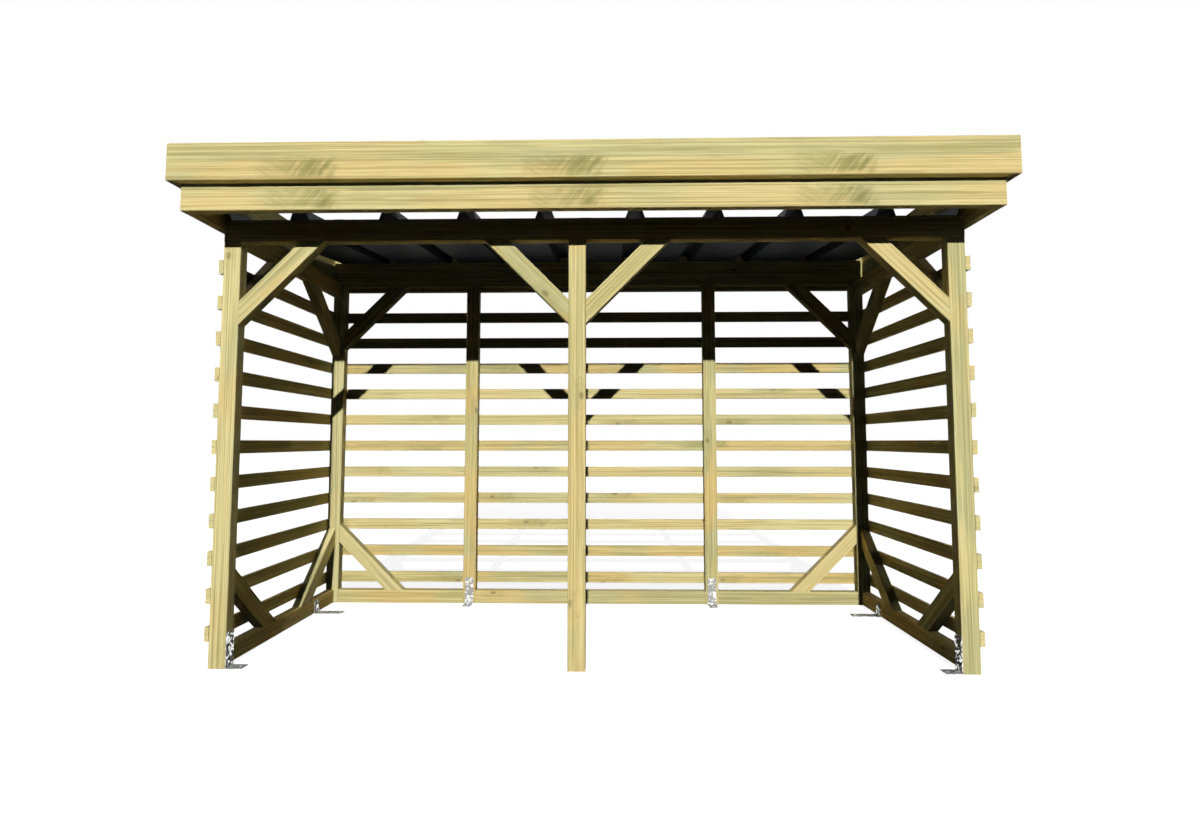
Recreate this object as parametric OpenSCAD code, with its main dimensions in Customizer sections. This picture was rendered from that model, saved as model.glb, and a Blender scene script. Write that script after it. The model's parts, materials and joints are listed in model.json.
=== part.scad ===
// Open-fronted firewood shelter: a softwood post frame with slatted sides and
// back, under a low-pitched profiled sheet roof hidden behind a two-board
// fascia. Millimetres, +Z up, standing on Z = 0 with its open side facing -Y.
// The origin is on the ground under the middle of the fascia. Inside the
// modules Y is counted from the front face of the front posts.

/* [Frame] */
// Width over the outer faces of the corner posts
frame_w = 3000; // [2300:10:3900]
// Depth from the front of the front posts to the back of the rear posts
frame_d = 974; // [780:1:1300]
// Height of the underside of the front beam
front_clear = 1707; // [1400:1:2100]
// Height of the underside of the rear beam above that of the front beam
rear_lift = 66; // [40:1:90]
// Width of posts, rails and braces across their broad face
post_w = 70; // [50:1:95]
// Thickness of posts, rails, beams and braces
post_d = 45; // [35:1:60]
// Rounding of the long edges of planed timber
arris = 3; // [1:0.5:5]
// Middle of the centre post, measured from the middle of the front
centre_x = -52; // [-300:1:300]
// Middle of the left rear stud
left_stud_x = -700; // [-900:1:-400]
// Middle of the right rear stud
right_stud_x = 636; // [400:1:900]

/* [Beams and rails] */
// Height of the front beam at its front face
front_beam_h = 85; // [70:1:120]
// Height of the rear beam at its front face
rear_beam_h = 137; // [100:1:180]
// Height of the top rails of the side walls
top_rail_h = 79; // [60:1:84]
// Height of the underside of the side top rails above that of the front beam
top_rail_lift = 6; // [0:1:10]
// Height of the bottom rails
bottom_rail_h = 70; // [50:1:95]

/* [Braces] */
// Leg of the front braces along the post
front_reach = 343; // [260:1:420]
// Leg of the braces in the back wall along the post
rear_reach = 360; // [260:1:420]
// Leg of the braces in the side walls along the post
side_reach = 338; // [260:1:390]

/* [Slats] */
// Height of one slat
slat_w = 57; // [40:1:95]
// Thickness of one slat
slat_t = 18; // [12:1:28]
// Clear gap between two slats
slat_gap = 90; // [25:1:130]
// Clear gap between the bottom rail and the lowest slat
first_gap = 34; // [10:1:90]

/* [Fascia] */
// Height of a fascia board
board_h = 143; // [110:1:180]
// Thickness of a fascia board
board_t = 34; // [20:1:40]
// Height of the lower edge of the lower boards above the front beam's underside
fascia_lift = 48; // [20:1:60]
// Height by which the upper board laps the lower one
board_lap = 41; // [20:1:70]
// Open slot between the front beam and the lower front board
front_slot = 166; // [80:1:260]

/* [Roof sheets] */
// Cover width of one sheet
sheet_cover = 1000; // [900:5:1100]
// Sheet metal thickness
sheet_t = 0.7; // [0.5:0.1:1.5]
// Height of a rib
rib_h = 42; // [25:1:50]
// Width of a rib at its foot
rib_foot = 78; // [60:1:100]
// Width of a rib at its crown
rib_crown = 46; // [25:1:55]
// Spacing of the three ribs of a sheet
rib_pitch = 317.5; // [280:0.5:330]
// Side lap of one sheet over the next
side_lap = 40; // [20:1:60]
// Gap between the outermost sheet and the side boards
sheet_gap = 8; // [4:1:20]
// Gap between the rear ends of the sheets and the upper rear board
rear_sheet_gap = 1; // [1:0.5:10]
// Reach of the sheets in front of the front beam
eaves_reach = 15; // [0:1:60]

/* [Ground brackets] */
// Long leg of a bracket
leg_long = 140; // [110:1:160]
// Short leg of a bracket
leg_short = 64; // [45:1:68]
// Width of a bracket
bracket_w = 45; // [35:1:50]
// Plate thickness of a bracket
bracket_t = 2.5; // [2:0.5:4]
// Diameter of the bolt holes
bolt_d = 11; // [8:0.5:13]
// Diameter of the nail holes
nail_d = 6; // [4:0.5:7]
// Distance of the side brackets from the front of the rear posts
side_bracket_set = 184; // [60:1:300]

/* [Hidden] */
e = 1;
half_w = frame_w / 2;
rear_y = frame_d - post_d;
rear_clear = front_clear + rear_lift;
front_top = front_clear + front_beam_h;
rear_top = rear_clear + rear_beam_h;
slope = (rear_top - front_top) / rear_y;
roof_pitch = atan(slope);
side_rail_z = front_clear + top_rail_lift;
slat_z0 = bottom_rail_h + first_gap;
slat_step = slat_w + slat_gap;
slat_n = floor((side_rail_z - slat_z0 + slat_gap) / slat_step);
low_z = front_clear + fascia_lift;
high_z = low_z + board_h - board_lap;
front_y = -front_slot;
first_rib = (sheet_cover - 2 * rib_pitch) / 2;
wood = [0.87, 0.82, 0.60];
wood_green = [0.83, 0.81, 0.60];
metal = [0.10, 0.11, 0.13];
zinc = [0.62, 0.64, 0.66];

// ---- timber ----
function arc(cx, cy, r, a, n = 3) =
  [for (i = [0:n]) [cx + r * cos(a + 90 * i / n), cy + r * sin(a + 90 * i / n)]];

// Rounded section, corner at the origin
module section(w, h, r = arris)
  polygon(concat(arc(w - r, h - r, r, 0), arc(r, h - r, r, 90),
                 arc(r, r, r, 180), arc(w - r, r, r, 270)));

// Section whose top follows the roof pitch, h high at its front
module pitched_section(d, h)
  polygon(concat(arc(arris, arris, arris, 180), arc(d - arris, arris, arris, 270),
                 [[d, h + d * slope], [0, h]]));

// From the front face of the front posts to the origin
module place() translate([0, -(frame_d - front_slot) / 2, 0]) children();

module upright(x, y, h, w = post_w, d = post_d)
  translate([x, y, 0]) linear_extrude(h) section(w, d);

module along_x(l) rotate([90, 0, 90]) linear_extrude(l) children();
module along_y(l) translate([0, l, 0]) rotate([90, 0, 0]) linear_extrude(l) children();

// 45 degree brace in the XZ plane: it stands under a beam at Z = 0 against a
// post at X = 0, and its long edge takes "reach" off both
module brace(reach) {
  l = reach * sqrt(2);
  intersection() {
    translate([0, 0, -reach]) rotate([0, -45, 0]) translate([-post_w, 0, 0])
      along_x(l + 2 * post_w) section(post_d, post_w);
    translate([0, -e, -reach - e]) cube([reach + e, post_d + 2 * e, reach + e]);
  }
}
module brace_at(x, y, z, reach, flip_x = false, flip_z = false)
  translate([x, y, z]) mirror([flip_x ? 1 : 0, 0, 0]) mirror([0, 0, flip_z ? 1 : 0]) brace(reach);

// ---- posts and studs ----
module front_left_post() color(wood) place() upright(-half_w, 0, front_clear);
module front_right_post() color(wood) place() upright(half_w - post_w, 0, front_clear);
module front_centre_post() color(wood) place() upright(centre_x - post_w / 2, 0, front_clear);
module rear_left_post() color(wood) place() upright(-half_w, rear_y, rear_clear);
module rear_right_post() color(wood) place() upright(half_w - post_w, rear_y, rear_clear);
module rear_left_stud() color(wood) place() upright(left_stud_x - post_w / 2, rear_y, rear_clear);
module rear_right_stud() color(wood) place() upright(right_stud_x - post_w / 2, rear_y, rear_clear);

// ---- beams and rails ----
module front_beam() color(wood) place()
  translate([-half_w, 0, front_clear]) along_x(frame_w) pitched_section(post_d, front_beam_h);
module rear_beam() color(wood) place()
  translate([-half_w, rear_y, rear_clear]) along_x(frame_w) pitched_section(post_d, rear_beam_h);

module side_rail(z, h) color(wood) place()
  translate([-half_w, post_d, z]) along_y(rear_y - post_d) section(post_d, h);
module left_top_rail() side_rail(side_rail_z, top_rail_h);
module right_top_rail() mirror([1, 0, 0]) side_rail(side_rail_z, top_rail_h);
module left_bottom_rail() side_rail(0, bottom_rail_h);
module right_bottom_rail() mirror([1, 0, 0]) side_rail(0, bottom_rail_h);

module rear_rail(x0, x1) translate([x0, rear_y, 0]) along_x(x1 - x0) section(post_d, bottom_rail_h);
module rear_bottom_rail() color(wood) place() {
  rear_rail(-half_w + post_w, left_stud_x - post_w / 2);
  rear_rail(left_stud_x + post_w / 2, right_stud_x - post_w / 2);
  rear_rail(right_stud_x + post_w / 2, half_w - post_w);
}

// ---- braces ----
module front_braces() color(wood) place() {
  brace_at(-half_w + post_w, 0, front_clear, front_reach);
  brace_at(centre_x - post_w / 2, 0, front_clear, front_reach, flip_x = true);
  brace_at(centre_x + post_w / 2, 0, front_clear, front_reach);
  brace_at(half_w - post_w, 0, front_clear, front_reach, flip_x = true);
}
module rear_top_braces() color(wood) place() {
  brace_at(-half_w + post_w, rear_y, rear_clear, rear_reach);
  brace_at(half_w - post_w, rear_y, rear_clear, rear_reach, flip_x = true);
}
module rear_bottom_braces() color(wood) place() {
  brace_at(-half_w + post_w, rear_y, bottom_rail_h, rear_reach, flip_z = true);
  brace_at(half_w - post_w, rear_y, bottom_rail_h, rear_reach, flip_x = true, flip_z = true);
}
module side_braces() color(wood) place()
  for (z = [0, 1], y = [0, 1])
    translate([-half_w + post_d, y ? rear_y : post_d, z ? side_rail_z : bottom_rail_h])
      rotate([0, 0, 90]) brace_at(0, 0, 0, side_reach, flip_x = y == 1, flip_z = z == 0);
module left_braces() side_braces();
module right_braces() mirror([1, 0, 0]) side_braces();

// ---- slats ----
module side_slats() color(wood_green) place()
  for (i = [0:slat_n - 1]) translate([-half_w - slat_t, 0, slat_z0 + i * slat_step])
    along_y(frame_d) section(slat_t, slat_w, arris * 0.6);
module left_slats() side_slats();
module right_slats() mirror([1, 0, 0]) side_slats();
module rear_slats() color(wood_green) place()
  for (i = [0:slat_n - 1]) translate([-half_w - slat_t, frame_d, slat_z0 + i * slat_step])
    along_x(frame_w + 2 * slat_t) section(slat_t, slat_w, arris * 0.6);

// ---- roof sheets ----
rib_run = (rib_foot - rib_crown) / 2;
rib_skew = sheet_t * tan(atan2(rib_h, rib_run) / 2);
jog = 2;
function rib_low(x) = [[x - rib_foot / 2, 0], [x - rib_crown / 2, rib_h],
                       [x + rib_crown / 2, rib_h], [x + rib_foot / 2, 0]];
function rib_high(x) = [[x - rib_foot / 2 - rib_skew, 0], [x - rib_crown / 2 - rib_skew, rib_h],
                        [x + rib_crown / 2 + rib_skew, rib_h], [x + rib_foot / 2 + rib_skew, 0]];
function ribs(high) = [for (i = [0:2], p = let (x = first_rib + i * rib_pitch)
                                        high ? rib_high(x) : rib_low(x)) p];
// Mid line of one sheet from x = 0; a lapping edge steps up by one thickness
function sheet_line(high, lap_in, lap_out) = concat(
  lap_in ? [[-side_lap, sheet_t], [0.5, sheet_t], [0.5 + jog, 0]] : [[0, 0]],
  ribs(high),
  lap_out ? [[sheet_cover - 0.5 - jog, 0], [sheet_cover - 0.5, sheet_t],
             [sheet_cover + side_lap, sheet_t]] : [[sheet_cover, 0]]);
function flip(v) = [for (i = [len(v) - 1:-1:0]) v[i]];
function lift(v, t) = [for (p = v) [p[0], p[1] + t]];

sheet_edge = half_w - sheet_gap;
sheet_end = frame_d + board_t - rear_sheet_gap;
sheet_run = (sheet_end + eaves_reach) / cos(roof_pitch) + rib_h;
sheet_start = -2 * eaves_reach - 100;
module sheet(place, lap_in, lap_out) color(metal) place()
  intersection() {
    translate([place * sheet_cover, 0, front_top]) rotate([roof_pitch, 0, 0])
      translate([0, -eaves_reach / cos(roof_pitch), 0]) along_y(sheet_run)
        polygon(concat(sheet_line(false, lap_in, lap_out),
                       flip(lift(sheet_line(true, lap_in, lap_out), sheet_t))));
    translate([-side_lap - e, sheet_start, 0])
      cube([sheet_edge + side_lap + e, sheet_end - sheet_start, 2 * rear_top]);
  }
module roof_sheet_1() mirror([1, 0, 0]) sheet(1, false, false);
module roof_sheet_2() mirror([1, 0, 0]) sheet(0, false, true);
module roof_sheet_3() sheet(0, true, true);
module roof_sheet_4() sheet(1, false, false);

// ---- fascia: front and rear boards run through, side boards fit between ----
module board_x(w, y, z) color(wood) place()
  translate([-w / 2, y, z]) along_x(w) section(board_t, board_h);
module board_y(x, y0, y1, z) color(wood) place()
  translate([x, y0, z]) along_y(y1 - y0) section(board_t, board_h);
low_w = frame_w + 2 * board_t;
high_w = frame_w + 4 * board_t;
module lower_fascia_front() board_x(low_w, front_y - board_t, low_z);
module lower_fascia_rear() board_x(low_w, frame_d, low_z);
module lower_fascia_left() board_y(-half_w - board_t, front_y, frame_d, low_z);
module lower_fascia_right() board_y(half_w, front_y, frame_d, low_z);
module upper_fascia_front() board_x(high_w, front_y - 2 * board_t, high_z);
module upper_fascia_rear() board_x(high_w, frame_d + board_t, high_z);
module upper_fascia_left()
  board_y(-half_w - 2 * board_t, front_y - board_t, frame_d + board_t, high_z);
module upper_fascia_right() board_y(half_w + board_t, front_y - board_t, frame_d + board_t, high_z);

// ---- ground brackets ----
bend = 3;
nail_step = 18;
hole_margin = 18;
bolt_web = 14;
module plate_hole(x, y, d, n)
  translate([x, y, -e]) cylinder(d = d, h = bracket_t + 2 * e, $fn = n);
// Holes of one leg lying along X: pairs of nail holes with one between each two
// pairs, then one bolt hole
module leg_holes(l) {
  n = floor((l - 2 * hole_margin - bolt_web) / nail_step) + 1;
  for (i = [0:n - 1], s = [-1, 1])
    plate_hole(hole_margin + i * nail_step, s * bracket_w / 4, nail_d, 16);
  if (n > 1) for (i = [0:n - 2]) plate_hole(hole_margin + (i + 0.5) * nail_step, 0, nail_d, 16);
  plate_hole(l - hole_margin, 0, bolt_d, 32);
}
// Bent plate: one leg up the plane X = 0, the other along the ground
module angle_plate(up, out) {
  r = bend + bracket_t;
  difference() {
    translate([0, -bracket_w / 2, 0]) along_y(bracket_w)
      polygon(concat([[out, 0], [out, bracket_t]],
        [for (i = [0:3]) [r + bend * cos(270 - 30 * i), r + bend * sin(270 - 30 * i)]],
        [[bracket_t, up], [0, up]],
        [for (i = [0:3]) [r + r * cos(180 + 30 * i), r + r * sin(180 + 30 * i)]]));
    leg_holes(out);
    translate([bracket_t, 0, 0]) rotate([0, -90, 0]) leg_holes(up);
  }
}
module bracket_front_left() color(zinc) place()
  translate([-half_w + post_w, post_d / 2, 0]) angle_plate(leg_long, leg_short);
module bracket_front_right() mirror([1, 0, 0]) bracket_front_left();
module stud_bracket(x) color(zinc) place()
  translate([x, rear_y, 0]) rotate([0, 0, -90]) angle_plate(leg_long, leg_short);
module bracket_stud_left() stud_bracket(left_stud_x);
module bracket_stud_right() stud_bracket(right_stud_x);
module bracket_side_left() color(zinc) place()
  translate([-half_w + post_d, rear_y - side_bracket_set, 0]) angle_plate(leg_short, leg_long);
module bracket_side_right() mirror([1, 0, 0]) bracket_side_left();

front_left_post();
front_centre_post();
front_right_post();
rear_left_post();
rear_right_post();
rear_left_stud();
rear_right_stud();
front_beam();
rear_beam();
left_top_rail();
right_top_rail();
left_bottom_rail();
right_bottom_rail();
rear_bottom_rail();
front_braces();
rear_top_braces();
rear_bottom_braces();
left_braces();
right_braces();
left_slats();
right_slats();
rear_slats();
roof_sheet_1();
roof_sheet_2();
roof_sheet_3();
roof_sheet_4();
lower_fascia_front();
lower_fascia_rear();
lower_fascia_left();
lower_fascia_right();
upper_fascia_front();
upper_fascia_rear();
upper_fascia_left();
upper_fascia_right();
bracket_front_left();
bracket_front_right();
bracket_stud_left();
bracket_stud_right();
bracket_side_left();
bracket_side_right();
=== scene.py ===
import json
import math
import random
from typing import NamedTuple

import bmesh
import bpy
from bpy.props import FloatProperty, FloatVectorProperty, IntProperty, PointerProperty
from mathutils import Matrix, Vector

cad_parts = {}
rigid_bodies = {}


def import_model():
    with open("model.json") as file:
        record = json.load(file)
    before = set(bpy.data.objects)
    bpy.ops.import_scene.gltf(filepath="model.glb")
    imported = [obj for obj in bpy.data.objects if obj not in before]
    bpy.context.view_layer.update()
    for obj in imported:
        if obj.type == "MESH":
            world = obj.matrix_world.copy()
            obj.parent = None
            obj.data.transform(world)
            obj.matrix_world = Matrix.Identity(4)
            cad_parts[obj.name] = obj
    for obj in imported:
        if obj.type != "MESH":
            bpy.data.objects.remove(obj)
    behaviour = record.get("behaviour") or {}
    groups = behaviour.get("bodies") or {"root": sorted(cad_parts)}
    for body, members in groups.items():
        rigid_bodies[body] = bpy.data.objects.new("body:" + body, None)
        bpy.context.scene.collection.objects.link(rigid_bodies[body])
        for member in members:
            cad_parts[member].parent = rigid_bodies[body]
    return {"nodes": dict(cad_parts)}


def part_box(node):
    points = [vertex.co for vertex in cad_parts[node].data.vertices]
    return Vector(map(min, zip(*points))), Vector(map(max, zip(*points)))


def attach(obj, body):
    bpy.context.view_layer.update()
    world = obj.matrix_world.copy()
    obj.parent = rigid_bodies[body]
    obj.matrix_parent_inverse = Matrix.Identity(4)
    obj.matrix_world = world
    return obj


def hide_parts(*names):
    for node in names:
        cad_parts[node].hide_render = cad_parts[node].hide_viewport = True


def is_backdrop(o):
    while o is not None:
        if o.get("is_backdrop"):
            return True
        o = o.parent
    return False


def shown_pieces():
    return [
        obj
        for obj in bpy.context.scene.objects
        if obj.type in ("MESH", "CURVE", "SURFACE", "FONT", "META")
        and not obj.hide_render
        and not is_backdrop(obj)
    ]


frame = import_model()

bl_info = {
    "name": "Firewood shelter finish",
    "version": (1, 0, 0),
    "blender": (4, 5, 0),
    "location": "View3D > Sidebar > Shelter",
    "description": "Finish of the timber, sheet roof, brackets and screws, with a stage",
    "category": "Object",
}

BODY = "root"
MM = 0.001
FRAME_TIMBER = [
    "front_left_post", "front_centre_post", "front_right_post",
    "rear_left_post", "rear_right_post", "rear_left_stud", "rear_right_stud",
    "front_beam", "rear_beam", "left_top_rail", "right_top_rail",
    "left_bottom_rail", "right_bottom_rail", "rear_bottom_rail",
    "front_braces", "rear_top_braces", "rear_bottom_braces", "left_braces", "right_braces",
]
FASCIA = [f"{level}_fascia_{side}" for level in ("lower", "upper")
          for side in ("front", "rear", "left", "right")]
SLATS = ["left_slats", "right_slats", "rear_slats"]
SHEETS = [f"roof_sheet_{i}" for i in range(1, 5)]
BRACKETS = [f"bracket_{place}_{side}" for place in ("front", "stud", "side")
            for side in ("left", "right")]


# ---------------------------------------------------------------- node trees

class Sock:
    """An output socket; arithmetic on it adds the Math nodes that work it out."""

    def __init__(self, net, out):
        self.net, self.out = net, out

    def __getitem__(self, key):
        return Sock(self.net, self.out.node.outputs[key])

    def __add__(self, other):
        return self.net.math("ADD", self, other)

    def __sub__(self, other):
        return self.net.math("SUBTRACT", self, other)

    def __mul__(self, other):
        return self.net.math("MULTIPLY", self, other)

    def __truediv__(self, other):
        return self.net.math("DIVIDE", self, other)

    def __pow__(self, other):
        return self.net.math("POWER", self, other)

    def __rsub__(self, other):
        return self.net.math("SUBTRACT", other, self)

    def __rtruediv__(self, other):
        return self.net.math("DIVIDE", other, self)

    def __rpow__(self, other):
        return self.net.math("POWER", other, self)

    __radd__ = __add__
    __rmul__ = __mul__


class Net:
    """A node tree that is built by calls; a call returns the new node's output."""

    def __init__(self, tree):
        self.tree = tree
        tree.nodes.clear()

    def node(self, kind, settings=None, sockets=None, out=0):
        """Adds a node: its settings first, then the values or links of its sockets."""
        made = self.tree.nodes.new(kind)
        for key, value in (settings or {}).items():
            setattr(made, key, value)
        for key, value in (sockets or {}).items():
            self.feed(made.inputs[key], value)
        return Sock(self, made.outputs[out]) if len(made.outputs) else made

    def feed(self, socket, value):
        if isinstance(value, Sock):
            self.tree.links.new(value.out, socket)
        elif socket.type == "RGBA" and len(value) == 3:
            socket.default_value = (*value, 1)
        else:
            socket.default_value = value

    def math(self, operation, *values):
        return self.node("ShaderNodeMath", {"operation": operation}, dict(enumerate(values)))

    def vector(self, operation, *values):
        return self.node("ShaderNodeVectorMath", {"operation": operation},
                         dict(enumerate(values)))


class Layer(NamedTuple):
    """A tint laid on by a value: none of it at "start", "amount" of it from "full" on."""
    start: float
    full: float
    amount: float


class Paint(Net):
    """A material's nodes."""

    def __init__(self, name):
        self.material = bpy.data.materials.new(name)
        self.material.use_nodes = True
        super().__init__(self.material.node_tree)

    def attribute(self, name, out="Vector"):
        return self.node("ShaderNodeAttribute", {"attribute_name": name}, out=out)

    def split(self, vector):
        made = self.node("ShaderNodeSeparateXYZ", sockets={0: vector})
        return made[0], made[1], made[2]

    def join(self, x, y, z):
        return self.node("ShaderNodeCombineXYZ", sockets={0: x, 1: y, 2: z})

    def distance(self, a, b):
        return self.math("SQRT", a ** 2 + b ** 2)

    def noise(self, place, stretch, detail=1.0, roughness=0.5):
        """Noise with "stretch" cycles a metre along X, Y and Z."""
        place = self.vector("MULTIPLY", place, stretch)
        return self.node("ShaderNodeTexNoise", sockets={
            "Vector": place, "Scale": 1.0, "Detail": detail, "Roughness": roughness})

    def ease(self, value, low, high, to_low=0.0, to_high=1.0):
        """Goes smoothly from "to_low" to "to_high" as the value goes from low to high."""
        return self.node("ShaderNodeMapRange", {"interpolation_type": "SMOOTHSTEP"},
                         dict(enumerate((value, low, high, to_low, to_high))))

    def mix(self, share, a, b):
        return self.node("ShaderNodeMix", {"data_type": "RGBA"}, {0: share, 6: a, 7: b}, out=2)

    def lay(self, colour, value, layer, tint):
        """Lays a tint on a colour as the layer says."""
        return self.mix(self.ease(value, layer.start, layer.full) * layer.amount, colour, tint)

    def bump(self, height, distance, strength):
        return self.node("ShaderNodeBump", sockets={
            "Height": height, "Distance": distance, "Strength": strength})

    def finish(self, **sockets):
        shader = self.node("ShaderNodeBsdfPrincipled", sockets={
            label.replace("_", " "): value for label, value in sockets.items()})
        self.node("ShaderNodeOutputMaterial", sockets={0: shader})
        return self.material


class Shaper(Net):
    """A Geometry Nodes tree with named inputs."""

    def __init__(self, name, **inputs):
        tree = bpy.data.node_groups.new(name, "GeometryNodeTree")
        super().__init__(tree)
        tree.interface.new_socket("Geometry", in_out="INPUT", socket_type="NodeSocketGeometry")
        tree.interface.new_socket("Geometry", in_out="OUTPUT", socket_type="NodeSocketGeometry")
        self.ids = {}
        for label, kind in inputs.items():
            made = tree.interface.new_socket(label.replace("_", " "), in_out="INPUT",
                                             socket_type="NodeSocket" + kind)
            self.ids[label] = made.identifier
        self.given = self.node("NodeGroupInput")

    def value(self, label):
        return self.given[label.replace("_", " ")]

    def store(self, shape, name, kind, domain, value):
        return self.node("GeometryNodeStoreNamedAttribute", {"data_type": kind, "domain": domain},
                         {"Geometry": shape, "Name": name, "Value": value})

    def end(self, shape):
        """Turns instances into mesh and gives it the tree's material."""
        real = self.node("GeometryNodeRealizeInstances", sockets={0: shape})
        done = self.node("GeometryNodeSetMaterial",
                         sockets={"Geometry": real, "Material": self.value("Material")})
        self.node("NodeGroupOutput", sockets={0: done})

    def make(self, name, mesh, **values):
        """Runs the tree on a mesh and returns the result as a plain mesh."""
        holder = add_object(name, mesh)
        modifier = holder.modifiers.new(name, "NODES")
        modifier.node_group = self.tree
        for label, value in values.items():
            modifier[self.ids[label]] = value
        result = plain(holder)
        result.materials.clear()
        result.materials.append(values["Material"])
        holder.modifiers.clear()
        bpy.data.objects.remove(holder)
        return result


# ---------------------------------------------------------------- mesh helpers

WELD = 0.02 * MM              # corners this near are one corner
FLAT = math.radians(0.5)      # faces that turn less from one another are one face
SHARP = math.radians(40)      # edges that turn more are broken
EDGE_STEPS = 2
BROAD_WEIGHT = 100            # leaves the shading to the broad faces; 50 would be even
END_FACING = 0.6              # a face that looks this much along the grain is a sawn end


def add_object(name, data):
    """A new object in the scene that holds the data."""
    thing = bpy.data.objects.new(name, data)
    bpy.context.scene.collection.objects.link(thing)
    return thing


def plain(thing):
    """The evaluated object as a mesh of its own, modifiers included."""
    graph = bpy.context.evaluated_depsgraph_get()
    return bpy.data.meshes.new_from_object(thing.evaluated_get(graph),
                                           preserve_all_data_layers=True, depsgraph=graph)


def show(name, mesh, slot, *nodes):
    """Adds a finished piece to the scene, in place of the CAD nodes that it stands for."""
    piece = add_object(name, mesh)
    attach(piece, BODY)
    if nodes:
        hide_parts(*nodes)


def merged(node):
    """A copy of a CAD node's mesh with whole faces in place of loose triangles."""
    mesh = bmesh.new()
    mesh.from_mesh(frame["nodes"][node].data)
    bmesh.ops.remove_doubles(mesh, verts=mesh.verts, dist=WELD)
    bmesh.ops.dissolve_limit(mesh, angle_limit=FLAT, verts=mesh.verts, edges=mesh.edges)
    return mesh


def islands(mesh):
    """The faces of each separate solid of a bmesh, from left to right and bottom to top."""
    left, found = set(mesh.faces), []
    while left:
        group, edge = set(), [left.pop()]
        while edge:
            face = edge.pop()
            group.add(face)
            for near in {f for e in face.edges for f in e.link_faces} - group:
                if near in left:
                    left.discard(near)
                    edge.append(near)
        found.append(group)
    return sorted(found, key=lambda group: tuple(round(c, 3) for c in middle(group)))


def middle(faces):
    """The middle of the box round some faces."""
    spots = [vert.co for face in faces for vert in face.verts]
    low = Vector(min(spot[i] for spot in spots) for i in range(3))
    high = Vector(max(spot[i] for spot in spots) for i in range(3))
    return (low + high) / 2


def heights(node):
    """Heights of the middles of a CAD node's solids, lowest first."""
    mesh = merged(node)
    found = sorted(middle(group).z for group in islands(mesh))
    mesh.free()
    return found


X, Y, Z = Vector((1, 0, 0)), Vector((0, 1, 0)), Vector((0, 0, 1))
# The ways a timber can run, each with the direction of its thin side; across the
# grain then points up, or to the right on an upright
WAYS = [(X, Y), (Y, -X), (Z, -Y), ((X + Z).normalized(), Y), ((X - Z).normalized(), Y),
        ((Y + Z).normalized(), -X), ((Y - Z).normalized(), -X)]


def grain_axes(faces):
    """Length, width and thickness directions of one timber."""
    def end_area(way):
        return sum(face.calc_area() * abs(face.normal.dot(way[0])) for face in faces)

    length, thin = min(WAYS, key=end_area)
    return length, length.cross(thin), thin


def soften(mesh, width):
    """Breaks the sharp sawn edges and keeps the broad faces flat in the light."""
    data = bpy.data.meshes.new("soft")
    mesh.to_mesh(data)
    mesh.free()
    data.shade_smooth()
    holder = add_object("soft", data)
    bevel = holder.modifiers.new("edges", "BEVEL")
    bevel.width, bevel.segments, bevel.limit_method = width, EDGE_STEPS, "ANGLE"
    bevel.angle_limit = SHARP
    weighted = holder.modifiers.new("flat faces", "WEIGHTED_NORMAL")
    weighted.weight = BROAD_WEIGHT
    result = plain(holder)
    bpy.data.objects.remove(holder)
    return result


def mark_grain(data, luck):
    """Gives each timber its own grain coordinates, tone and sawn ends."""
    mesh = bmesh.new()
    mesh.from_mesh(data)
    grain = mesh.verts.layers.float_vector.new("grain")
    tone = mesh.verts.layers.float_vector.new("tone")
    end = mesh.faces.layers.float.new("end")
    for group in islands(mesh):
        axes, centre = grain_axes(group), middle(group)
        own = Vector((luck.random(), luck.random(), luck.random()))
        for face in group:
            face[end] = float(abs(face.normal.dot(axes[0])) > END_FACING)
            for vert in face.verts:
                vert[grain] = [(vert.co - centre).dot(axis) for axis in axes]
                vert[tone] = own
    mesh.to_mesh(data)
    mesh.free()
    return data


# ---------------------------------------------------------------- materials

class Knots(NamedTuple):
    """How knots lie in one kind of timber; lengths in metres."""
    gap: float      # length of timber that has room for one knot
    share: float    # part of these places that have one
    scatter: float  # how far chance moves them, in gaps
    below: float    # distance below the timber's middle line
    reach: float    # half length of the strokes round a knot
    rise: float     # half height of the strokes
    heart: float    # strength of the knot itself
    crown: float    # strength of the green band above the middle line
    stroke: float   # strength of the strokes
    shade: float    # strength of the soft shade under the strokes


FRAME_KNOTS = Knots(gap=0.8, share=0.35, scatter=9.7, below=0.0, reach=0.07, rise=0.03,
                    heart=0.8, crown=0.0, stroke=0.12, shade=0.16)
SLAT_KNOTS = Knots(gap=0.8, share=0.5, scatter=9.7, below=0.0, reach=0.13, rise=0.026,
                   heart=0.75, crown=0.0, stroke=0.26, shade=0.26)
FASCIA_KNOTS = Knots(gap=0.993, share=1.0, scatter=0.02, below=0.028, reach=0.165, rise=0.040,
                     heart=0.0, crown=1.0, stroke=0.62, shade=0.26)


class Grain(NamedTuple):
    """A noise in the wood, in cycles a metre along and across the grain."""
    along: float
    across: float
    detail: float = 2.0
    roughness: float = 0.5


SWAY = Grain(0.8, 5.0)                     # how the growth rings wander
STREAK = Grain(0.7, 26.0, 3.0, 0.6)        # streaks as long as the timber
BAND = Grain(2.0, 8.0)                     # bands tinted by the treatment
PATCH = Grain(2.4, 5.0, detail=1.0)        # patches of warmer wood
LINE = Grain(0.9, 170.0)                   # long fine lines
DASH = Grain(4.0, 240.0)                   # shorter and finer lines
HAIR = Grain(0.5, 34.0, detail=1.0)        # a few dark hair lines
FIBRE = Grain(5.0, 420.0)                  # fibres that the plane left

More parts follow.
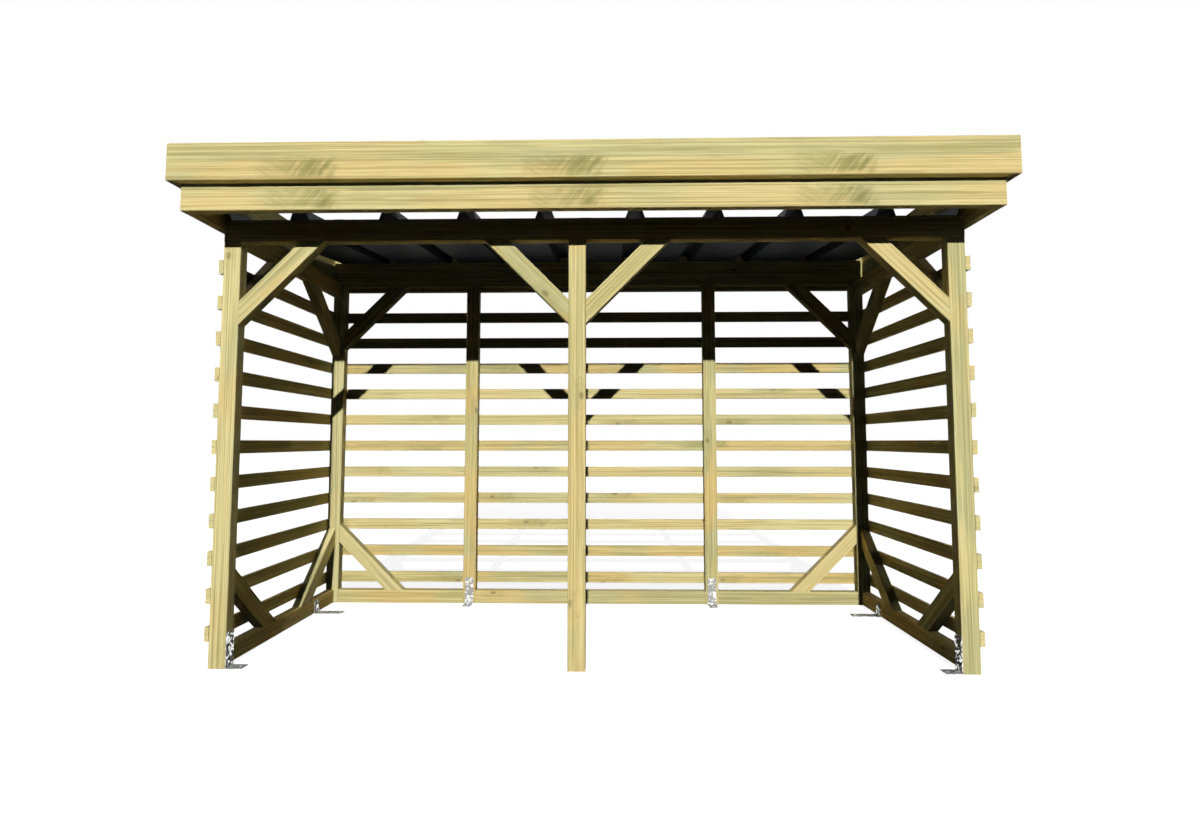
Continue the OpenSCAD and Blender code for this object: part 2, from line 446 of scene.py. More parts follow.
STREAKS = Layer(0.36, 0.66, 0.85)
GREEN_BANDS = Layer(0.48, 0.60, 0.85)
WARM_BANDS = Layer(0.50, 0.62, 0.85)
PALE_TIMBERS = Layer(0.45, 0.95, 0.45)
DARK_LINES = Layer(0.50, 0.64, 0.54)
PALE_LINES = Layer(0.45, 0.33, 0.60)
DARK_DASHES = Layer(0.54, 0.68, 0.30)
PALE_DASHES = Layer(0.44, 0.32, 0.30)
FIBRES = Layer(0.35, 0.65, 0.10)
END_GRAIN = Layer(0.4, 0.6, 0.35)

TIMBER_APART = (31.0, 17.0, 23.0)   # most metres that a timber's tone moves it in the noises
TIMBER_TINT = 0.24                  # how far a timber's own tone moves its bands
PATCH_TINT = 0.4                    # how far its patches move its paleness

PITH_STRAY = 100 * MM               # width within which the pith lies
PITH_DEPTH = 35 * MM                # least depth of the pith
PITH_DEEPER = 50 * MM               # how much deeper it can lie
RING_SWAY = 22 * MM                 # how far the rings wander along the timber
RING_BEND = 12 * MM                 # how far a knot bends them
BEND_REACH = 5                      # how far out it bends them, in knot radii
RING_POWER = 3.0                    # how late in a ring its dark wood sets in
RING_DARK = 0.30
RING_HOLLOW = -0.35                 # height of a ring's dark edge, in reliefs
FIBRE_RISE = 0.5                    # height of the fibres, in reliefs
RELIEF = 0.35 * MM

CROWN_SWAY = 50 * MM                # how far the green crown's foot wanders
CROWN_FADE = 0.45                   # what is left of it at the top
CROWN_LEAST, CROWN_MOST = 0.25, 0.8
CROWN_WARMTH = 0.10                 # warmth below the middle line of such a timber
VEIN_SWAY = 20 * MM                 # how far the vein along the middle wanders
VEIN_ABOVE = 2 * MM                 # how far it lies above the middle line
VEIN_CROWN = 4 * MM                 # how much higher it lies where there is a crown
VEIN_DARK = 0.5
HAIR_DARK = 0.30

FIRST_KNOT = 0.58                   # where the knots start along a timber, in gaps
KNOT_DRAW = 71.3                    # gives each timber its own draw of knots
MOST_SHIFT = 0.5                    # greatest length within which a knot moves, in gaps
KNOT_SHAPE = 0.55                   # a knot's height over its length
KNOT_CYCLES = 2.2, 0.7              # of the wobble, in a reach and in a rise
HEART_WOBBLE = 12 * MM
HEART_CORE = 0.3                    # radius of its dark core, in knot radii
STROKE_DRAW = 40.0                  # gives each timber its own strokes
STROKE_BOW = 16 * MM
FINE_PITCH, FINE_CYCLES = 5 * MM, 0.35      # spacing, and cycles in a rise
FINE_LEAN, FINE_DARK = 0.55, 0.60
BOLD_PITCH, BOLD_CYCLES = 16 * MM, 0.4
BOLD_LEAN, BOLD_LEAST = 0.75, 0.6
BOLD_FROM = -0.3                    # where the bold strokes grow from, in reaches
FULL_AT = 0.6                       # where they and their cloud are full
FORWARD_FROM, FORWARD_TO = -0.45, -0.05     # where they take over from the fine ones
RIM_WOBBLE = 0.7
TAIL_SHADE = 0.55                   # what is left of the cloud at its fine end

# Spans: nothing at the first value, all at the second
RING_EDGE = 1.0, 0.93
WARM_FOOT = 0.0, -30 * MM
CROWN_FOOT = 2 * MM, 12 * MM
CROWN_TOP = 70 * MM, 40 * MM
CROWN_BANDS = 0.3, 0.6
VEIN_WIDTH = 2.8 * MM, 0.8 * MM
VEIN_BANDS = 0.40, 0.56
HAIR_WIDTH = 0.035, 0.010
HAIR_BANDS = 0.46, 0.56
FINE_STROKES = 0.40, 0.62
BOLD_STROKES = 0.33, 0.66
CLOUD_ENDS = 1.1, 0.6               # in reaches
CLOUD_SIDES = 1.2, 0.5              # in rises
HEART_SHARE = 0.25, 0.35            # draws; some knots keep no heart


class Softwood(Paint):
    """Planed, pressure-treated softwood, read along each timber's own grain."""

    def __init__(self, name, look, knots):
        super().__init__(name)
        self.look, self.knots = look, knots
        grain, tone = self.attribute("grain"), self.attribute("tone")
        self.seed, self.warm, self.green = self.split(tone)
        self.along, self.across, self.deep = self.split(grain)
        self.wood = self.vector("ADD", grain, self.vector("MULTIPLY", tone, TIMBER_APART))
        self.sway = self.grain(SWAY) - 0.5
        self.band = self.grain(BAND)
        along, across = KNOT_CYCLES[0] / knots.reach, KNOT_CYCLES[1] / knots.rise
        self.wobble = self.grain(Grain(along, across))
        self.place_knots()

    def grain(self, kind):
        """One of the wood's noises."""
        stretch = (kind.along, kind.across, kind.across)
        return self.noise(self.wood, stretch, kind.detail, kind.roughness)

    def place_knots(self):
        """Gives each gap's length of timber at most one knot, and measures from it."""
        knots = self.knots
        stretch = self.along / knots.gap + self.seed * knots.scatter + FIRST_KNOT
        cell = self.math("FLOOR", stretch)
        draw = self.node("ShaderNodeTexWhiteNoise", {"noise_dimensions": "2D"},
                         {"Vector": self.join(cell, self.seed * KNOT_DRAW, 0.0)}, out="Color")
        self.chance, aside, drawn = self.split(draw)
        shift = (self.chance - 0.5) * min(knots.scatter, MOST_SHIFT)
        aside = (aside - 0.5) * self.look.knot_spread * min(knots.scatter, 1)
        self.knot_along = (stretch - cell - 0.5 - shift) * knots.gap
        self.knot_across = self.across + knots.below - aside
        self.here = self.math("LESS_THAN", drawn, knots.share)
        self.far = self.distance(self.knot_along * KNOT_SHAPE, self.knot_across)

    def rings(self):
        """The dark edge of each growth ring, round a pith that wanders along the timber."""
        reach = self.look.knot_size * BEND_REACH
        bend = self.here * self.ease(self.far, 0.0, reach) - self.here
        pith_across = self.across - (self.warm - 0.5) * PITH_STRAY
        pith_deep = self.deep + PITH_DEPTH + self.green * PITH_DEEPER
        radius = self.distance(pith_across, pith_deep) + self.sway * RING_SWAY + bend * RING_BEND
        turn = self.math("FRACT", radius / self.look.ring_pitch)
        return turn ** RING_POWER * self.ease(turn, *RING_EDGE)

    def bands(self, streak):
        """Pale wood with streaks, green and warm bands, and a tone for each timber."""
        look, knots = self.look, self.knots
        patch = self.grain(PATCH)
        treated = self.band + (self.green - 0.5) * TIMBER_TINT
        warmth = (patch + (self.warm - 0.5) * TIMBER_TINT
                  + self.ease(self.across, *WARM_FOOT) * CROWN_WARMTH * knots.crown)
        paleness = self.seed + patch * PATCH_TINT - PATCH_TINT / 2
        colour = look.pale
        for value, layer, tint in ((streak, STREAKS, look.olive),
                                   (treated, GREEN_BANDS, look.green),
                                   (warmth, WARM_BANDS, look.peach),
                                   (paleness, PALE_TIMBERS, look.cream)):
            colour = self.lay(colour, value, layer, tint)
        crown = (self.ease(self.across + self.sway * CROWN_SWAY, *CROWN_FOOT)
                 * self.ease(self.across, *CROWN_TOP, CROWN_FADE)
                 * self.ease(self.band, *CROWN_BANDS, CROWN_LEAST, CROWN_MOST))
        return self.mix(crown * knots.crown, colour, look.green)

    def lines(self, colour, late, fibre):
        """Fine lines, growth rings, a vein along the middle, hair lines and fibres."""
        look = self.look
        line, dash = self.grain(LINE), self.grain(DASH)
        for value, layer, tint in ((line, DARK_LINES, look.late), (line, PALE_LINES, look.cream),
                                   (dash, DARK_DASHES, look.late), (dash, PALE_DASHES, look.cream)):
            colour = self.lay(colour, value, layer, tint)
        colour = self.mix(late * RING_DARK, colour, look.late)
        off_vein = self.math("ABSOLUTE", self.across + self.sway * VEIN_SWAY
                             - VEIN_CROWN * self.knots.crown - VEIN_ABOVE)
        vein = self.ease(off_vein, *VEIN_WIDTH) * self.ease(self.band, *VEIN_BANDS)
        colour = self.mix(vein * VEIN_DARK, colour, look.smudge)
        off_hair = self.math("ABSOLUTE", self.grain(HAIR) - 0.5)
        hair = self.ease(off_hair, *HAIR_WIDTH) * self.ease(self.band, *HAIR_BANDS)
        colour = self.mix(hair * HAIR_DARK, colour, look.late)
        return self.lay(colour, fibre, FIBRES, look.late)

    def strokes(self, colour):
        """Grey-green strokes where a knot lies below the face.

        They are fine and lean back at one end, and are broad and lean forward at the other.
        """
        along, across, own = self.knot_along, self.knot_across, self.seed * STROKE_DRAW
        reach, rise = self.knots.reach, self.knots.rise
        bow = (self.wobble - 0.5) * STROKE_BOW
        fine = self.noise(self.join(along * FINE_LEAN + across + bow, along, own),
                          (1 / FINE_PITCH, FINE_CYCLES / rise, 1.0))
        bold = self.noise(self.join(along - across * BOLD_LEAN + bow, across, own),
                          (1 / BOLD_PITCH, BOLD_CYCLES / rise, 1.0))
        forward = self.ease(along, FORWARD_FROM * reach, FORWARD_TO * reach)
        fine = self.ease(fine, *FINE_STROKES) * FINE_DARK * (1 - forward)
        bold = (self.ease(bold, *BOLD_STROKES)
                * self.ease(along, BOLD_FROM * reach, FULL_AT * reach, BOLD_LEAST) * forward)
        rim = (self.wobble - 0.5) * RIM_WOBBLE
        cloud = (self.ease(self.math("ABSOLUTE", along / reach) + rim, *CLOUD_ENDS)
                 * self.ease(self.math("ABSOLUTE", across / rise) + rim, *CLOUD_SIDES)
                 * self.here * self.ease(along, -reach, FULL_AT * reach, TAIL_SHADE))
        share = cloud * ((fine + bold) * self.knots.stroke + self.knots.shade)
        return self.mix(share, colour, self.look.smudge)

    def hearts(self, colour):
        """The dark heart of each knot."""
        size = self.look.knot_size
        out = self.far + (self.wobble - 0.5) * HEART_WOBBLE
        heart = self.ease(out, size, size * HEART_CORE)
        heart = heart * self.here * self.ease(self.chance, *HEART_SHARE)
        return self.mix(heart * self.knots.heart, colour, self.look.knot)


def softwood(name, look, knots):
    """The finished softwood: bands and lines, then knots, then sawn ends."""
    net = Softwood(name, look, knots)
    late, streak, fibre = net.rings(), net.grain(STREAK), net.grain(FIBRE)
    colour = net.lines(net.bands(streak), late, fibre)
    colour = net.hearts(net.strokes(colour))
    colour = net.lay(colour, net.attribute("end", "Fac"), END_GRAIN, look.cream)
    height = late * RING_HOLLOW + fibre * FIBRE_RISE
    return net.finish(Base_Color=colour, Roughness=net.ease(streak, 0.3, 0.7, 0.62, 0.78),
                      Specular_IOR_Level=0.03, Normal=net.bump(height, RELIEF, strength=0.6))


DUST_CYCLES = (3.0, 1.2, 3.0)       # in a metre; drifts run down the roof
DUST_FILM = Layer(0.42, 0.72, 0.35)
SKIN_CYCLES = (900.0,) * 3
SKIN_RELIEF = 0.05 * MM
CRYSTALS = 150.0                    # in a metre
CRYSTAL_SHADE, CRYSTAL_DULL = 0.35, 0.06    # how far a crystal's own shade shows
BLOTCH_CYCLES = (85.0,) * 3
DULL = 0.465, 0.485                 # a narrow span, so that the blotches have edges
# The drive's recess is not in the mesh: it is painted on the flat head as dark shade
DRIVE_LOBES = 6
LOBE_DEPTH = 0.25 * MM
DRIVE_RADIUS = 2.0 * MM             # radius of the drive's lip
DRIVE_FLOOR = 1.7 * MM              # radius within which the drive's painted shade is full


def coated_metal(look):
    """Black-coated sheet with a faint leathery skin and dust that dulls it."""
    net = Paint("black coated sheet")
    place = net.node("ShaderNodeTexCoord", out="Object")
    dust = net.noise(place, DUST_CYCLES, detail=4.0, roughness=0.6)
    skin = net.noise(place, SKIN_CYCLES)
    colour = net.lay(look.coat, dust, DUST_FILM, look.dust)
    return net.finish(Base_Color=colour, Roughness=net.ease(dust, 0.35, 0.7, 0.5, 0.66),
                      Specular_IOR_Level=0.06,
                      Normal=net.bump(skin, SKIN_RELIEF, strength=0.4))


def galvanised(look):
    """Zinc with its crystal spangle and dull weathered blotches."""
    net = Paint("galvanised steel")
    place = net.node("ShaderNodeTexCoord", out="Object")
    crystal = net.node("ShaderNodeTexVoronoi", sockets={"Vector": place, "Scale": CRYSTALS},
                       out="Color")
    shade, turn = net.split(crystal)[:2]
    dull = net.ease(net.noise(place, BLOTCH_CYCLES) + shade * CRYSTAL_DULL, *DULL)
    colour = net.mix(shade * CRYSTAL_SHADE, look.zinc, look.zinc_dark)
    colour = net.mix(dull, colour, look.tarnish)
    return net.finish(Base_Color=colour, Metallic=1 - dull, Roughness=turn * 0.12 + 0.24,
                      Specular_IOR_Level=0.0)


def screw_metal(look):
    """Zinc-plated screw head; the hollow of its six-lobed drive is painted on as dark shade."""
    net = Paint("screw heads")
    x, y = net.split(net.attribute("head"))[:2]
    lobes = net.math("COSINE", net.math("ARCTAN2", y, x) * DRIVE_LOBES)
    # painted shade: a dark six-lobed patch stands for the shadowed hollow of the drive
    painted_drive_shade = net.ease(net.distance(x, y) - lobes * LOBE_DEPTH, DRIVE_RADIUS, DRIVE_FLOOR)
    colour = net.mix(painted_drive_shade, look.screw, look.painted_drive_shade)
    return net.finish(Base_Color=colour, Metallic=0.8, Roughness=painted_drive_shade * 0.4 + 0.38)


# ---------------------------------------------------------------- settings

def colour_setting(label, text, value):
    """A colour setting."""
    return FloatVectorProperty(name=label, description=text, subtype="COLOR",
                               size=3, min=0, max=1, default=value)


def length_setting(label, text, value):
    """A length setting, in metres."""
    return FloatProperty(name=label, description=text, default=value, unit="LENGTH", min=0)


def strength_setting(label, text, value):
    """A light's strength."""
    return FloatProperty(name=label, description=text, default=value, min=0)


class TimberLook(bpy.types.PropertyGroup):
    pale: colour_setting("Pale wood", "Colour of the palest wood", (0.86, 0.745, 0.35))
    olive: colour_setting("Streaks", "Colour of the streaks along the grain", (0.56, 0.49, 0.19))
    green: colour_setting("Green bands", "Bands tinted by the treatment", (0.60, 0.595, 0.30))
    peach: colour_setting("Warm bands", "Bands of warmer wood", (0.84, 0.61, 0.235))
    cream: colour_setting("Cream lines", "Pale lines along the grain", (0.93, 0.82, 0.42))
    late: colour_setting("Growth rings", "Colour of the growth rings", (0.40, 0.31, 0.11))
    smudge: colour_setting("Knot strokes", "Grey-green strokes round knots", (0.30, 0.28, 0.095))
    knot: colour_setting("Knots", "Heart of a knot", (0.26, 0.20, 0.085))
    ring_pitch: length_setting("Ring pitch", "Distance between growth rings", 4.2 * MM)
    knot_size: length_setting("Knot radius", "Radius of a knot", 12 * MM)
    knot_spread: length_setting("Knot spread", "Width of the strip in which a timber's knots lie",
                                60 * MM)
    edge: length_setting("Sawn edge", "Width of the broken edge at sawn ends", 0.8 * MM)
    seed: IntProperty(name="Seed", description="Picks the wood that each timber is cut from",
                      default=7)


class SlatLook(bpy.types.PropertyGroup):
    easing: length_setting("Edge radius", "Rounding of a slat's long edges", 1.8 * MM)
    seed: IntProperty(name="Seed", description="Picks the wood that each slat is cut from",
                      default=5)


class MetalLook(bpy.types.PropertyGroup):
    coat: colour_setting("Sheet coating", "Colour of the coated roof sheets", (0.022, 0.024, 0.028))
    dust: colour_setting("Dust", "Dull film on the roof sheets", (0.05, 0.052, 0.055))
    zinc: colour_setting("Zinc", "Bright zinc", (0.92, 0.93, 0.94))
    zinc_dark: colour_setting("Zinc shade", "Darker zinc crystals", (0.62, 0.64, 0.66))
    screw: colour_setting("Screws", "Dulled zinc of the screw heads", (0.30, 0.28, 0.22))
    # painted shade: this colour stands for the shadow inside a screw's drive recess
    painted_drive_shade: colour_setting("Screw drives", "Dark recess in a screw head", (0.02, 0.02, 0.02))
    tarnish: colour_setting("Tarnish", "Weathered blotches on the zinc", (0.44, 0.44, 0.43))


class FixingLook(bpy.types.PropertyGroup):
    head: length_setting("Head radius", "Radius of a slat screw's head", 4 * MM)
    sink: length_setting("Head height", "How far a head stands off the wood", 0.4 * MM)
    spread: length_setting("Pair spacing", "Distance across a rear post between a pair's screws",
                           28 * MM)


class StageLook(bpy.types.PropertyGroup):
    place: FloatVectorProperty(name="Key place", description="Where the key light stands",
                               subtype="TRANSLATION", default=(1.3, -43.4, 17.35))
    key: strength_setting("Key", "Strength of the key light where it reaches the shelter", 3.1)
    rear: strength_setting("Rear fill", "Strength of the light from behind", 2.2)
    side: strength_setting("Side fills", "Strength of the light from each side", 2.2)
    top: strength_setting("Top fill", "Strength of the light from straight above", 1.2)
    fill: strength_setting("Surroundings", "Strength of the light from all round", 0.006)


class ShelterSettings(bpy.types.PropertyGroup):
    timber: PointerProperty(name="Timber", description="Look of all the wood", type=TimberLook)
    slats: PointerProperty(name="Slats", description="Shape of the slats", type=SlatLook)
    metal: PointerProperty(name="Metal", description="Look of all the metal", type=MetalLook)
    fixings: PointerProperty(name="Fixings", description="Sizes of the screws", type=FixingLook)
    stage: PointerProperty(name="Stage", description="Lights", type=StageLook)


# ---------------------------------------------------------------- timber

def dress_timber(nodes, slot, paint, look):
    """Puts a finished timber in place of each CAD node."""
    for node in nodes:
        data = mark_grain(soften(merged(node), look.edge), random.Random(f"{node}{look.seed}"))
        data.materials.clear()
        data.materials.append(paint)
        show(node + "_timber", data, slot, node)


class SHELTER_OT_framing(bpy.types.Operator):
    """Posts, studs, beams, rails and braces in treated softwood"""
    bl_idname = "shelter.framing"
    bl_label = "Framing"

    def execute(self, context):
        look = context.scene.shelter.timber
        paint = softwood("framing softwood", look, FRAME_KNOTS)
        dress_timber(FRAME_TIMBER, "frame_timber", paint, look)
        return {"FINISHED"}


class SHELTER_OT_fascia(bpy.types.Operator):
    """Two-board fascia in treated softwood"""
    bl_idname = "shelter.fascia"
    bl_label = "Fascia"

    def execute(self, context):
        look = context.scene.shelter.timber
        paint = softwood("fascia softwood", look, FASCIA_KNOTS)
        dress_timber(FASCIA, "fascia_timber", paint, look)
        return {"FINISHED"}


EASING_STEPS = 3   # points on each rounded edge of a slat


def slat_tree():
    """One row of eased slats, the lowest centred on the origin."""
    net = Shaper("slat row", Length="Float", Height="Float", Thickness="Float", Easing="Float",
                 Step="Float", Count="Int", Turn="Rotation", Place="Vector", Seed="Int",
                 Material="Material")
    half = net.value("Length") * 0.5
    start = net.node("ShaderNodeCombineXYZ", sockets={0: half * -1})
    stop = net.node("ShaderNodeCombineXYZ", sockets={0: half})
    line = net.node("GeometryNodeCurvePrimitiveLine", sockets={"Start": start, "End": stop})
    outline = net.node("GeometryNodeCurvePrimitiveQuadrilateral",
                       sockets={"Width": net.value("Thickness"), "Height": net.value("Height")})
    outline = net.node("GeometryNodeFilletCurve", {"mode": "POLY"}, {
        "Curve": outline, "Count": EASING_STEPS, "Radius": net.value("Easing")})
    slat = net.node("GeometryNodeCurveToMesh",
                    sockets={"Curve": line, "Profile Curve": outline, "Fill Caps": True})
    place = net.node("ShaderNodeSeparateXYZ", sockets={0: net.node("GeometryNodeInputPosition")})
    grain = net.node("ShaderNodeCombineXYZ", sockets={0: place[0], 1: place[2], 2: place[1]})
    slat = net.store(slat, "grain", "FLOAT_VECTOR", "POINT", grain)
    facing = net.node("ShaderNodeSeparateXYZ", sockets={0: net.node("GeometryNodeInputNormal")})
    ends = net.math("GREATER_THAN", net.math("ABSOLUTE", facing), END_FACING)
    slat = net.store(slat, "end", "FLOAT", "FACE", ends)
    offset = net.node("ShaderNodeCombineXYZ", sockets={2: net.value("Step")})
    row = net.node("GeometryNodeMeshLine", sockets={"Count": net.value("Count"), "Offset": offset})
    row = net.node("GeometryNodeInstanceOnPoints", sockets={"Points": row, "Instance": slat})
    luck = net.node("FunctionNodeRandomValue", {"data_type": "FLOAT_VECTOR"},
                    {"Seed": net.value("Seed")})
    row = net.store(row, "tone", "FLOAT_VECTOR", "INSTANCE", luck)
    row = net.node("GeometryNodeTransform", sockets={
        "Geometry": row, "Translation": net.value("Place"), "Rotation": net.value("Turn")})
    net.end(row)
    return net


class SHELTER_OT_slats(bpy.types.Operator):
    """Rows of slats on the sides and the back"""
    bl_idname = "shelter.slats"
    bl_label = "Slats"

    def execute(self, context):
        settings = context.scene.shelter
        paint = softwood("slat softwood", settings.timber, SLAT_KNOTS)
        tree = slat_tree()
        for number, node in enumerate(SLATS):
            low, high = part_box(node)
            centres = heights(node)
            step = (centres[-1] - centres[0]) / (len(centres) - 1)
            size = high - low
            long_x = size.x > size.y
            centre = (low + high) / 2
            mesh = tree.make(
                node, bpy.data.meshes.new(node),
                Length=max(size.x, size.y), Thickness=min(size.x, size.y),
                Height=size.z - step * (len(centres) - 1), Easing=settings.slats.easing,
                Step=step, Count=len(centres), Turn=(0, 0, 0 if long_x else math.pi / 2),
                Place=(centre.x, centre.y, centres[0]),
                Seed=settings.slats.seed + number, Material=paint)
            mesh.shade_flat()
            show(node + "_timber", mesh, "slat_timber", node)
        return {"FINISHED"}


# ---------------------------------------------------------------- metalwork

def coat(nodes, paint):
    """Gives a material to CAD nodes that keep their own shape."""
    for node in nodes:
        for slot in frame["nodes"][node].material_slots:
            slot.material = paint


class SHELTER_OT_roof(bpy.types.Operator):
    """Coating on the roof sheets"""
    bl_idname = "shelter.roof"
    bl_label = "Roof sheets"

    def execute(self, context):
        coat(SHEETS, coated_metal(context.scene.shelter.metal))
        return {"FINISHED"}


class SHELTER_OT_brackets(bpy.types.Operator):
    """Zinc on the ground brackets"""
    bl_idname = "shelter.brackets"
    bl_label = "Ground brackets"

    def execute(self, context):
        coat(BRACKETS, galvanised(context.scene.shelter.metal))
        return {"FINISHED"}


HEAD_SIDES = 14
HEAD_TAPER = 0.72       # a head's top radius over its foot radius
WHOLE_TURN = 6.283      # radians
SPIN_SEED = 3
PAIR_RISE = 0.7         # height between a pair's screws, over the pair spacing
PAIR_SIDESTEP = 0.5     # distance across a side post between them, over the pair spacing


def screw_tree():
    """Screw heads at a mesh's points, each facing along the attribute "aim"."""
    net = Shaper("screw heads", Radius="Float", Height="Float", Material="Material")
    radius, height = net.value("Radius"), net.value("Height")
    head = net.node("GeometryNodeMeshCone", {"fill_type": "TRIANGLE_FAN"}, {
        "Vertices": HEAD_SIDES, "Radius Top": radius * HEAD_TAPER, "Radius Bottom": radius,
        "Depth": height})
    head = net.store(head, "head", "FLOAT_VECTOR", "POINT", net.node("GeometryNodeInputPosition"))
    aim = net.node("GeometryNodeInputNamedAttribute", {"data_type": "FLOAT_VECTOR"}, {0: "aim"})
    turn = net.node("FunctionNodeAlignRotationToVector", {"axis": "Z"}, {"Vector": aim})
    spin = net.node("FunctionNodeRandomValue", {"data_type": "FLOAT"},
                    {"Max": WHOLE_TURN, "Seed": SPIN_SEED}, out=1)
    spin = net.node("FunctionNodeAxisAngleToRotation", sockets={"Axis": (0, 0, 1), "Angle": spin})
    turn = net.node("FunctionNodeRotateRotation", {"rotation_space": "LOCAL"}, {0: turn, 1: spin})
    heads = net.node("GeometryNodeInstanceOnPoints", sockets={
        "Points": net.given, "Instance": head, "Rotation": turn})
    net.end(heads)
    return net


def points(spots):
    """A mesh of loose points, each with its direction in the attribute "aim"."""
    mesh = bpy.data.meshes.new("points")
    mesh.from_pydata([place for place, _ in spots], [], [])
    aims = mesh.attributes.new("aim", "FLOAT_VECTOR", "POINT")
    for item, (_, aim) in zip(aims.data, spots):
        item.vector = aim
    return mesh


def screw_spots(node, spacing):
    """Places and directions of the screws of one wall's slats, a pair at each crossing."""
    low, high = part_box(node)
    rows = heights(node)
    rear = node == "rear_slats"
    if rear:
        supports = ["rear_left_post", "rear_left_stud", "rear_right_stud", "rear_right_post"]
        aim, face = Y, high.y
    else:
        side = node.split("_")[0]
        supports = [f"front_{side}_post", f"rear_{side}_post"]
        aim, face = (-X, low.x) if side == "left" else (X, high.x)
    spots = []
    for support in supports:
        foot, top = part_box(support)
        x, y = (foot.x + top.x) / 2, (foot.y + top.y) / 2
        for row in rows:
            for step in (-spacing / 2, spacing / 2):
                z = row + step * PAIR_RISE
                place = (x + step, face, z) if rear else (face, y + step * PAIR_SIDESTEP, z)
                spots.append((place, aim))
    return spots


class SHELTER_OT_fixings(bpy.types.Operator):
    """Screws that hold the slats"""
    bl_idname = "shelter.fixings"
    bl_label = "Fixings"

    def execute(self, context):
        look, metal = context.scene.shelter.fixings, context.scene.shelter.metal
        tree, paint = screw_tree(), screw_metal(metal)
        for node in SLATS:
            mesh = tree.make("screws", points(screw_spots(node, look.spread)),
                             Radius=look.head, Height=look.sink, Material=paint)
            show(node + "_screws", mesh, "zinc_plate")
        return {"FINISHED"}


# ---------------------------------------------------------------- stage

KEY_RADIUS = 0.28
SUN_DISTANCE = 6.0       # of a sun's object; its light doesn't depend on it
# Words in the names of the pieces that run to both sides, and so show an end to each
BOTH_SIDES = ("beam", "rear_slats", "fascia_front", "fascia_rear")

FLOOR_REACH = 60.0
FLOOR_SEEN = 0.45        # how pale the floor is to the camera
FLOOR_BOUNCE = 0.02      # how pale it is to the light that it sends back up
FLOOR_GLOW = 0.90        # white that it gives off near the middle; far from it, that is 1
GLOW_NEAR, GLOW_FAR = 2.0, 9.0

LENS, SENSOR = 17.158, 36.0                     # millimetres
CAMERA_PLACE = (0.0824, -2.6741, 0.8899)
CAMERA_RISE, CAMERA_TURN = 3.414, 1.066         # degrees


def sun(name, strength, turn, height, size, only=None):
    """A sun "turn" degrees round the shelter from its open front and "height" degrees up.

    It lights what it reaches itself and throws no light on. With "only", it lights just
    these pieces.
    """
    light = bpy.data.lights.new(name, "SUN")
    light.energy, light.angle = strength, math.radians(size)
    light.cycles.max_bounces = 0
    turn, height = math.radians(turn), math.radians(height)
    back = Vector((math.sin(turn) * math.cos(height), -math.cos(turn) * math.cos(height),
                   math.sin(height)))
    holder = add_object(name, light)
    holder.rotation_euler = back.to_track_quat("Z", "Y").to_euler()
    holder.location = back * SUN_DISTANCE
    if only is not None:
        group = bpy.data.collections.new(name + " receivers")
        for piece in only:
            group.objects.link(piece)
        holder.light_linking.receiver_collection = group


def lamp(name, strength, place, radius):
    """A far lamp in front of the shelter; "strength" is its light where it arrives."""
    light = bpy.data.lights.new(name, "POINT")
    light.energy = strength * 4 * math.pi * place.length_squared
    light.shadow_soft_size = radius
    holder = add_object(name, light)
    holder.location = place
    holder.visible_camera = False


def seen_rays(net):
    """1 for the rays that show the surroundings, 0 for those that light the shelter."""
    ray = net.node("ShaderNodeLightPath")
    return net.math("MAXIMUM", ray["Is Camera Ray"],
                    net.math("MAXIMUM", ray["Is Glossy Ray"], ray["Is Transmission Ray"]))


def pale_ground():
    """Pale ground: white to the eye, with the shelter's shadow left in it."""
    net = Paint("pale floor")
    seen = seen_rays(net)
    away = net.node("ShaderNodeVectorMath", {"operation": "LENGTH"},
                    {0: net.node("ShaderNodeTexCoord", out="Object")}, out="Value")
    glow = net.ease(away, GLOW_NEAR, GLOW_FAR, FLOOR_GLOW, 1.0)
    tone = net.mix(seen, (FLOOR_BOUNCE,) * 3, (FLOOR_SEEN,) * 3)
    matt = net.node("ShaderNodeBsdfDiffuse", sockets={"Color": tone})
    white = net.node("ShaderNodeEmission", sockets={"Strength": seen * glow})
    both = net.node("ShaderNodeAddShader", sockets={0: matt, 1: white})
    net.node("ShaderNodeOutputMaterial", sockets={0: both})
    return net.material


def add_floor():
    """The ground, which reaches far past the shelter."""
    low, high = -FLOOR_REACH, FLOOR_REACH
    mesh = bpy.data.meshes.new("floor")
    mesh.from_pydata([(low, low, 0), (high, low, 0), (high, high, 0), (low, high, 0)],
                     [], [(0, 1, 2, 3)])
    mesh.materials.append(pale_ground())
    floor = add_object("floor", mesh)
    floor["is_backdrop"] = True


def add_surroundings(scene, fill):
    """White surroundings, which light the shelter only by the fill's strength."""
    world = bpy.data.worlds.new("surroundings")
    scene.world = world
    world.use_nodes = True
    net = Net(world.node_tree)
    strength = seen_rays(net) * (1 - fill) + fill
    light = net.node("ShaderNodeBackground", sockets={"Color": (1, 1, 1), "Strength": strength})
    net.node("ShaderNodeOutputWorld", sockets={0: light})


def add_lights(look):
    """The key light, and fills for the faces that it doesn't reach."""
    lamp("key", look.key, Vector(look.place), KEY_RADIUS)
    sun("rear fill", look.rear, turn=180, height=2, size=2)
    sun("top fill", look.top, turn=0, height=90, size=2, only=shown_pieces())
    for side, turn in (("left", -90), ("right", 90)):
        own = [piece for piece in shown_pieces()
               if any(word in piece.name for word in (side, *BOTH_SIDES))]
        sun(side + " fill", look.side, turn, height=5, size=4, only=own)


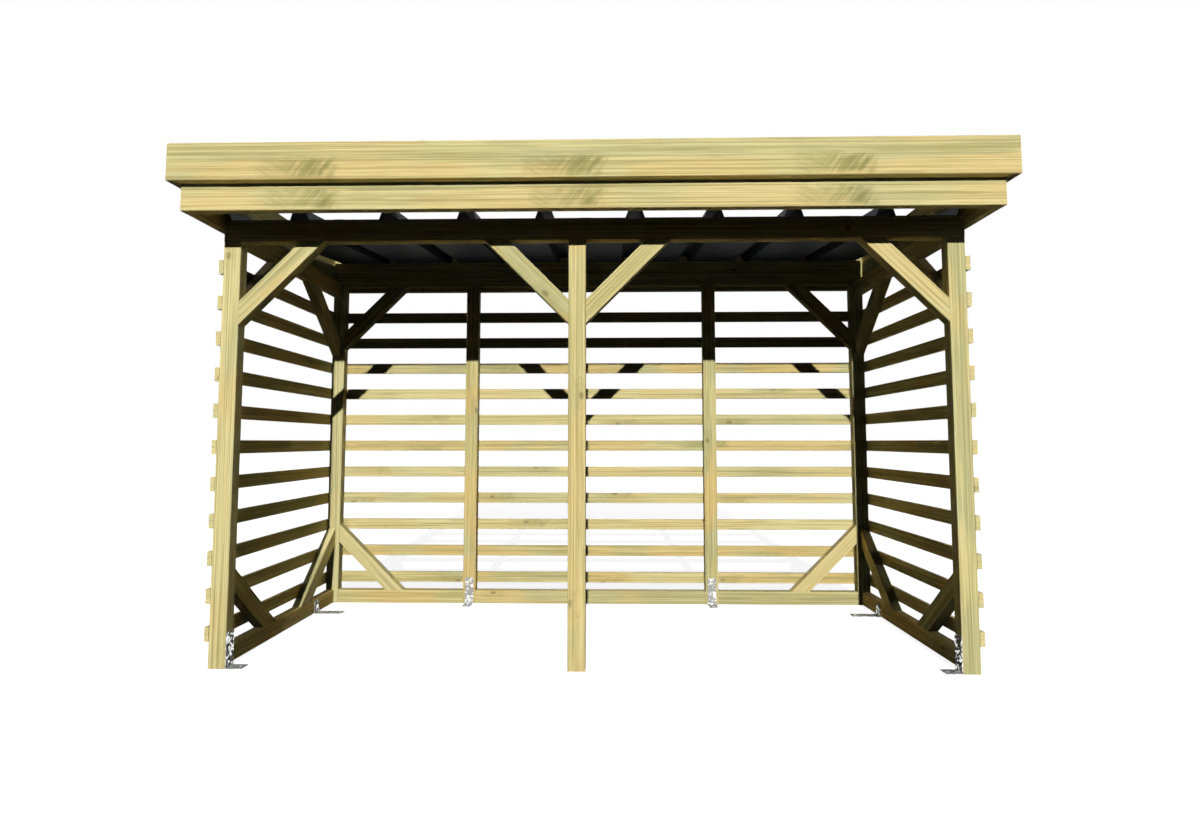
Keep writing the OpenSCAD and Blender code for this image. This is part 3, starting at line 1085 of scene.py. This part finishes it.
def add_camera(scene):
    """The camera in front of the open side, tilted up a little."""
    camera = bpy.data.cameras.new("camera")
    camera.lens, camera.sensor_width, camera.sensor_fit = LENS, SENSOR, "HORIZONTAL"
    holder = add_object("camera", camera)
    holder.location = CAMERA_PLACE
    holder.rotation_euler = (math.radians(90 + CAMERA_RISE), 0, math.radians(CAMERA_TURN))
    scene.camera = holder


class SHELTER_OT_stage(bpy.types.Operator):
    """Floor, surroundings, lights and camera"""
    bl_idname = "shelter.stage"
    bl_label = "Stage"

    def execute(self, context):
        scene, look = context.scene, context.scene.shelter.stage
        add_floor()
        add_surroundings(scene, look.fill)
        add_lights(look)
        add_camera(scene)
        scene.view_settings.view_transform = "Standard"
        scene.cycles.diffuse_bounces = 1
        scene.cycles.use_light_tree = False   # with it, linked lights leak
        return {"FINISHED"}


class SHELTER_PT_panel(bpy.types.Panel):
    """Lists the shelter's pieces in the sidebar"""
    bl_label = "Firewood shelter"
    bl_idname = "SHELTER_PT_panel"
    bl_space_type = "VIEW_3D"
    bl_region_type = "UI"
    bl_category = "Shelter"

    def draw(self, context):
        for step in STEPS:
            self.layout.operator(step.bl_idname)
        for label in ("timber", "slats", "metal", "fixings", "stage"):
            box = self.layout.box()
            box.label(text=label.capitalize())
            group = getattr(context.scene.shelter, label)
            for key in group.__annotations__:
                box.prop(group, key)


STEPS = (SHELTER_OT_framing, SHELTER_OT_fascia, SHELTER_OT_slats, SHELTER_OT_roof,
         SHELTER_OT_brackets, SHELTER_OT_fixings, SHELTER_OT_stage)
CLASSES = (TimberLook, SlatLook, MetalLook, FixingLook, StageLook, ShelterSettings,
           *STEPS, SHELTER_PT_panel)


def register():
    for each in CLASSES:
        bpy.utils.register_class(each)
    bpy.types.Scene.shelter = PointerProperty(name="Shelter", description="Finish and stage",
                                              type=ShelterSettings)


def unregister():
    del bpy.types.Scene.shelter
    for each in reversed(CLASSES):
        bpy.utils.unregister_class(each)


def main():
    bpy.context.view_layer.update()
    register()
    for step in STEPS:
        group, name = step.bl_idname.split(".")
        getattr(getattr(bpy.ops, group), name)()


if __name__ == "__main__":
    main()
